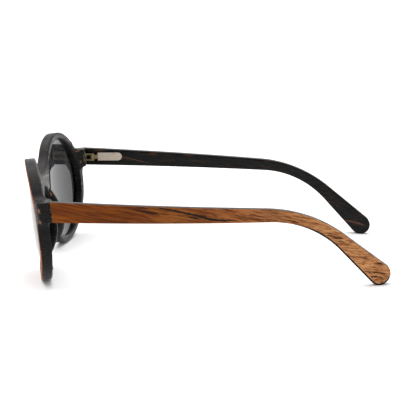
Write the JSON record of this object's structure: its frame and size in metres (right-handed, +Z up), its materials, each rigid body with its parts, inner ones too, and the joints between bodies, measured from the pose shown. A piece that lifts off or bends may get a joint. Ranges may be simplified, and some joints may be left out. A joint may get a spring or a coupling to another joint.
{
  "type": "sunglasses",
  "caption": "Round wooden sunglasses with domed grey lenses, wooden nose pads and bowed, veneered temples that fold on spring hinges set into the wood.",
  "frame": {"origin": "on the ground below the middle of the box round the open sunglasses", "axes": "+X to the wearer's left, +Y back along the temples, +Z up; standing on the rims and temple tips"},
  "size_m": [0.1368, 0.1537, 0.0516],
  "materials": {
    "ebony": "satin",
    "rosewood": "satin",
    "smoke_lens": "polished",
    "champagne_metal": "matte",
    "gilt_metal": "satin",
    "steel": "satin"
  },
  "bodies": {
    "front": {"front_core": "ebony", "front_veneer": "rosewood", "left_lens": "smoke_lens", "right_lens": "smoke_lens", "left_nose_pad": "ebony", "right_nose_pad": "ebony", "left_hinge_leaf": "gilt_metal", "right_hinge_leaf": "gilt_metal", "left_leaf_screws": "steel", "right_leaf_screws": "steel", "left_hinge_pin": "steel", "right_hinge_pin": "steel"},
    "left_slider": {"left_hinge_slider": "gilt_metal", "left_spring_collar": "steel"},
    "left_temple": {"left_temple_core": "ebony", "left_temple_veneer": "rosewood", "left_hinge_housing": "champagne_metal", "left_stop_pin": "champagne_metal", "left_hinge_spring": "steel"},
    "right_slider": {"right_hinge_slider": "gilt_metal", "right_spring_collar": "steel"},
    "right_temple": {"right_temple_core": "ebony", "right_temple_veneer": "rosewood", "right_hinge_housing": "champagne_metal", "right_stop_pin": "champagne_metal", "right_hinge_spring": "steel"}
  },
  "joints": [
    {"name": "left_fold", "type": "hinge", "parent": "front", "child": "left_slider", "pos_m": [0.064, -0.05744, 0.03533], "axis": [0, 0, 1], "range_deg": [0, 82]},
    {"name": "left_spring_slide", "type": "slide", "parent": "left_slider", "child": "left_temple", "axis": [0, 1, 0], "range_m": [0, 0.001], "stiffness_N_per_m": 1500, "springref_m": -0.0005, "deforming": ["left_hinge_spring"]},
    {"name": "right_fold", "type": "hinge", "parent": "front", "child": "right_slider", "pos_m": [-0.064, -0.05744, 0.03533], "axis": [0, 0, -1], "range_deg": [0, 73]},
    {"name": "right_spring_slide", "type": "slide", "parent": "right_slider", "child": "right_temple", "axis": [0, 1, 0], "range_m": [0, 0.001], "stiffness_N_per_m": 1500, "springref_m": -0.0005, "deforming": ["right_hinge_spring"]}
  ]
}
